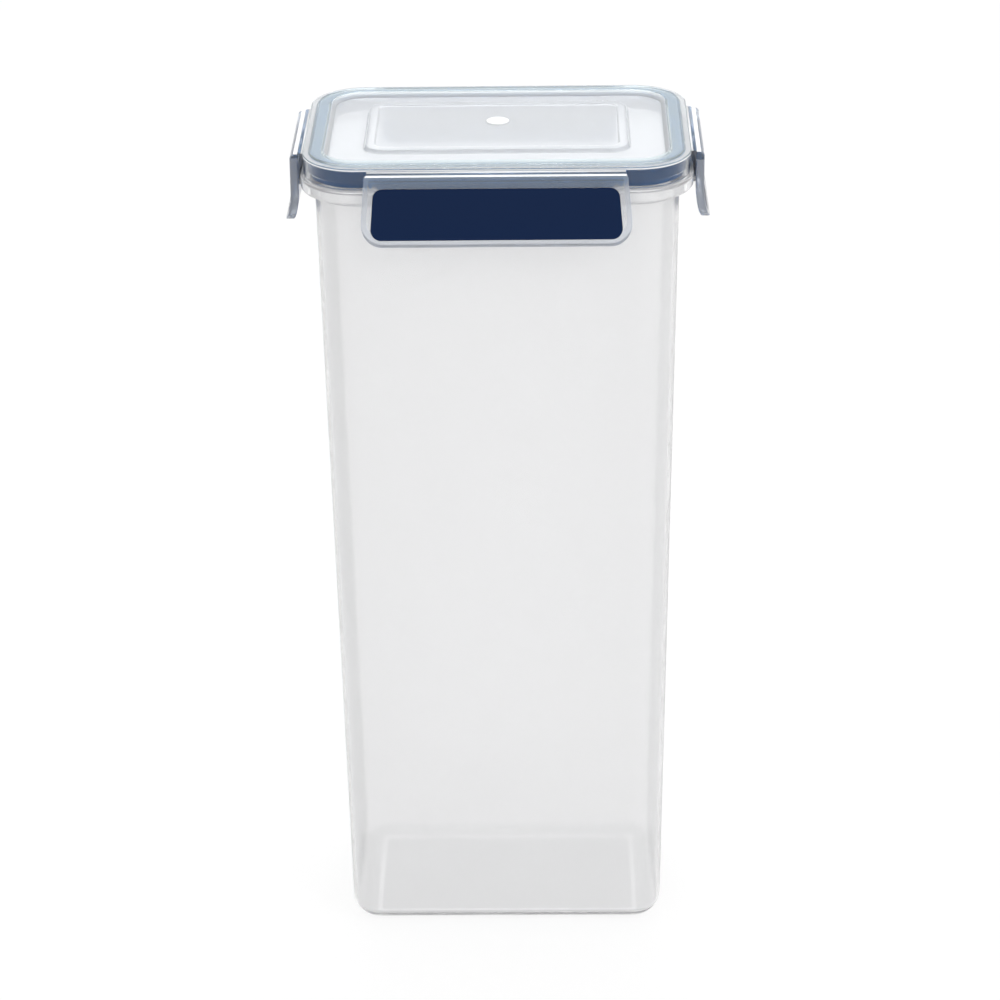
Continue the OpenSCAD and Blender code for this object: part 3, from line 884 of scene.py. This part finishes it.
class AddLid(bpy.types.Operator):
    """Adds the clear lid with its stacking frame and gate mark"""

    bl_idname = "canister.add_lid"
    bl_label = "Lid"

    def execute(self, context):
        scene, finish = context.scene, context.scene.canister_finish
        shell, gate = lid_surface(scene), gate_surface(scene)
        piece = mesh_piece("lid_shell", [shell, gate], [lid_bands(scene, shell), HIGHLIGHT_AND_GATE])
        dress(piece, (
            plastic("Polished rim", finish.lid, 0.05, 0.03, LID_PEEL, 1.0, 1.33),
            # Frosted panel with a painted bluish tint of the insert seen through it
            plastic("Frosted panel", finish.panel, 0.06, 0.04, LID_PEEL, 0.66, 1.33),
            plastic("Satin ridge", finish.ridge, 0.12, 0.04, LID_PEEL, 0.58, 1.33),
            # Clear edges and ridge top with the seal's blue painted in
            plastic("Clear edge", finish.edge, 0.08, 0.03, LID_PEEL, 0.79, 1.33),
            # Painted highlight on the flange's upright edge, and the gate mark's own milky white
            plastic("Gate and edge highlight", finish.milky_mark_and_highlight, 0.12, 0.04, LID_PEEL, 0.25, 1.33),
            plastic("Seal-tinted ridge", finish.edge, 0.08, 0.03, LID_PEEL, 0.72, 1.33),
        ), "lid_plastic", "lid", "lid")
        return {"FINISHED"}


class AddSeal(bpy.types.Operator):
    """Adds the silicone ring in the lid's channel"""

    bl_idname = "canister.add_seal"
    bl_label = "Seal"

    def execute(self, context):
        scene = context.scene
        piece = mesh_piece("seal_ring", [seal_surface(scene)])
        silicone = plastic("Silicone", scene.canister_finish.seal, 0.5, 0.08, SEAL_PEEL,
                           Specular_IOR_Level=0.25)
        dress(piece, (silicone,), "seal_rubber", "lid", "seal")
        return {"FINISHED"}


class AddLatches(bpy.types.Operator):
    """Adds the four latches with their catches and film hinges"""

    bl_idname = "canister.add_latches"
    bl_label = "Latches"

    def execute(self, context):
        scene, finish = context.scene, context.scene.canister_finish
        frosted = plastic("Frosted latch", finish.latch, 0.12, 0.05, LATCH_PEEL, 0.82, 1.3)
        # Clear plastic with the seal's blue, seen through it, painted in
        clear = plastic("Clear with seal tint", finish.shoulder, 0.08, 0.03, LATCH_PEEL, 0.89, 1.3)
        # Painted dark outline round the latch's edge
        edge = plastic("Dark latch outline", finish.painted_outline, 0.12, 0.04, LATCH_PEEL, 0.72, 1.3)
        # Painted highlight: milky white on the latches' level tops and where the films leave the
        # lid
        satin = plastic("Highlight white", finish.milky_mark_and_highlight, 0.2, 0.05, LATCH_PEEL, 0.2, 1.3)
        for side in SIDES:
            grids = latch_surfaces(scene, side)
            piece = mesh_piece(f"{side}_latch_plate", [on_side(grid, side) for grid in grids],
                               [latch_bands(scene, grids[0]), FROSTED, SEAL_TINT])
            dress(piece, (frosted, clear, satin, edge), "latch_plastic", f"{side}_latch",
                  f"{side}_latch")
            self.add_film(scene, side, clear, satin)
        return {"FINISHED"}

    def add_film(self, scene, side, clear, satin):
        """The thin strip between the lid's edge and the latch, milky white where it leaves the
        lid as a painted highlight.
        """
        sizes, top = scene.canister_latch, levels(scene).top
        grid = film_surface(scene, side)
        # Where the film leaves the lid it takes the painted highlight
        film = mesh_piece(f"{side}_film_hinge", [on_side(grid, side)],
                          [(grid[:-1, :, 1] < sizes.hinge_out).astype(int)])
        dress(film, (clear, satin), "latch_plastic", None)
        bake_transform(film)


class AddInserts(bpy.types.Operator):
    """Adds the navy inserts in the latches' outer faces"""

    bl_idname = "canister.add_inserts"
    bl_label = "Inserts"

    def execute(self, context):
        scene, finish = context.scene, context.scene.canister_finish
        navy = plastic("Navy plastic", finish.insert, 0.34, 0.08, INSERT_PEEL,
                       Specular_IOR_Level=0.12)
        # Painted light: a lighter blue on the insert's back than on its navy front
        bonded = plastic("Lit insert back", finish.lit_insert_back, 0.6, 0.08, INSERT_PEEL,
                         Specular_IOR_Level=0.12)
        for side in SIDES:
            grid = on_side(insert_surface(scene, side), side)
            is_back = (np.arange(len(grid) - 1) < INSERT_BACK_STEPS).astype(int)
            piece = mesh_piece(f"{side}_insert_plate", [grid], [is_back])
            dress(piece, (navy, bonded), "insert_plastic", f"{side}_latch", f"{side}_insert")
        return {"FINISHED"}


# Half the floor's width, and the share of white that it shows when seen directly
FLOOR_HALF, FLOOR_WHITE = 4, 0.88
# Each soft box's place, side and power
LAMPS = {
    "key_light": ((1.1, -0.9, 1.2), 0.7, 7.0),
    "fill_light": ((-0.9, -1.1, 1.5), 0.9, 1.5),
    "top_light": ((0.0, 0.5, 1.8), 0.5, 8.0),
}
LAMP_AIM = (0, 0, 0.2)


class AddStage(bpy.types.Operator):
    """Adds the floor, the lights, the world and the camera"""

    bl_idname = "canister.add_stage"
    bl_label = "Stage"

    def execute(self, context):
        scene = context.scene
        self.add_floor(scene)
        self.add_world(scene)
        for name, lamp in LAMPS.items():
            self.add_lamp(name, *lamp)
        self.add_camera(scene)
        scene.view_settings.view_transform = "Standard"
        return {"FINISHED"}

    def add_floor(self, scene):
        """A pale floor that reads as white to the camera and keeps a soft shadow."""
        mesh = bpy.data.meshes.new("floor")
        signs = (-1, -1), (1, -1), (1, 1), (-1, 1)
        mesh.from_pydata([(FLOOR_HALF * x, FLOOR_HALF * y, 0) for x, y in signs], [], [range(4)])
        floor = bpy.data.objects.new("floor", mesh)
        scene.collection.objects.link(floor)
        material = bpy.data.materials.new("Pale floor")
        material.use_nodes = True
        tree = material.node_tree
        shader = set_inputs(tree.nodes["Principled BSDF"], Roughness=0.9,
                            Base_Color=(*scene.canister_finish.floor, 1))
        glow = tree.nodes.new("ShaderNodeEmission")
        mixed = mix_seen(tree, shader.outputs["BSDF"], glow.outputs["Emission"], FLOOR_WHITE)
        join(tree, (mixed, tree.nodes["Material Output"].inputs["Surface"]))
        mesh.materials.append(material)

    def add_world(self, scene):
        """A plain white surround."""
        scene.world = bpy.data.worlds.new("studio")
        scene.world.use_nodes = True
        nodes = scene.world.node_tree.nodes
        set_inputs(nodes["Background"], Color=(1, 1, 1, 1), Strength=1.0)

    def add_lamp(self, name, place, size, power):
        """A square soft box that faces the canister's middle."""
        lamp = bpy.data.lights.new(name, "AREA")
        lamp.energy = power
        lamp.size = size
        holder = bpy.data.objects.new(name, lamp)
        turn = (Vector(LAMP_AIM) - Vector(place)).to_track_quat("-Z", "Y")
        holder.matrix_world = Matrix.Translation(place) @ turn.to_matrix().to_4x4()
        bpy.context.scene.collection.objects.link(holder)

    def add_camera(self, scene):
        """A camera turned by yaw, then tilted down by pitch, then rolled."""
        studio = scene.canister_studio
        camera = bpy.data.cameras.new("camera")
        camera.lens = studio.lens
        camera.sensor_width = 36
        holder = bpy.data.objects.new("camera", camera)
        turned = Matrix.Rotation(-studio.yaw, 4, "Z")
        tilted = turned @ Matrix.Rotation(math.pi / 2 - studio.pitch, 4, "X")
        rolled = tilted @ Matrix.Rotation(studio.roll, 4, "Z")
        holder.matrix_world = Matrix.Translation(studio.camera_place) @ rolled
        scene.collection.objects.link(holder)
        scene.camera = holder


def mix_seen(tree, own, seen, share):
    """A shader with a share of another for camera, glossy and transmission rays."""
    path = tree.nodes.new("ShaderNodeLightPath")
    first, second = math_node(tree, "MAXIMUM"), math_node(tree, "MAXIMUM")
    scaled = math_node(tree, "MULTIPLY")
    scaled.inputs[1].default_value = share
    mix = tree.nodes.new("ShaderNodeMixShader")
    join(tree,
         (path.outputs["Is Camera Ray"], first.inputs[0]),
         (path.outputs["Is Glossy Ray"], first.inputs[1]),
         (first.outputs[0], second.inputs[0]),
         (path.outputs["Is Transmission Ray"], second.inputs[1]),
         (second.outputs[0], scaled.inputs[0]),
         (scaled.outputs[0], mix.inputs["Fac"]),
         (own, mix.inputs[1]),
         (seen, mix.inputs[2]))
    return mix.outputs["Shader"]


class CanisterPanel(bpy.types.Panel):
    """Lists the canister's pieces"""

    bl_label = "Canister"
    bl_idname = "VIEW3D_PT_canister"
    bl_space_type = "VIEW_3D"
    bl_region_type = "UI"
    bl_category = "Canister"

    def draw(self, context):
        for operator in OPERATORS:
            self.layout.operator(operator.bl_idname)


GROUPS = {
    "canister_tub": TubSizes,
    "canister_lid": LidSizes,
    "canister_latch": LatchSizes,
    "canister_finish": Finish,
    "canister_studio": Studio,
}
OPERATORS = (AddTub, AddLid, AddSeal, AddLatches, AddInserts, AddStage)


def register():
    for group in GROUPS.values():
        bpy.utils.register_class(group)
    for name, group in GROUPS.items():
        setattr(bpy.types.Scene, name, bpy.props.PointerProperty(type=group))
    for operator in OPERATORS:
        bpy.utils.register_class(operator)
    bpy.utils.register_class(CanisterPanel)


def unregister():
    bpy.utils.unregister_class(CanisterPanel)
    for operator in reversed(OPERATORS):
        bpy.utils.unregister_class(operator)
    for name in GROUPS:
        delattr(bpy.types.Scene, name)
    for group in reversed(list(GROUPS.values())):
        bpy.utils.unregister_class(group)


def main():
    """Registers the add-on and builds every piece and the stage."""
    register()
    bpy.ops.canister.add_tub()
    bpy.ops.canister.add_lid()
    bpy.ops.canister.add_seal()
    bpy.ops.canister.add_latches()
    bpy.ops.canister.add_inserts()
    bpy.ops.canister.add_stage()


if __name__ == "__main__":
    main()
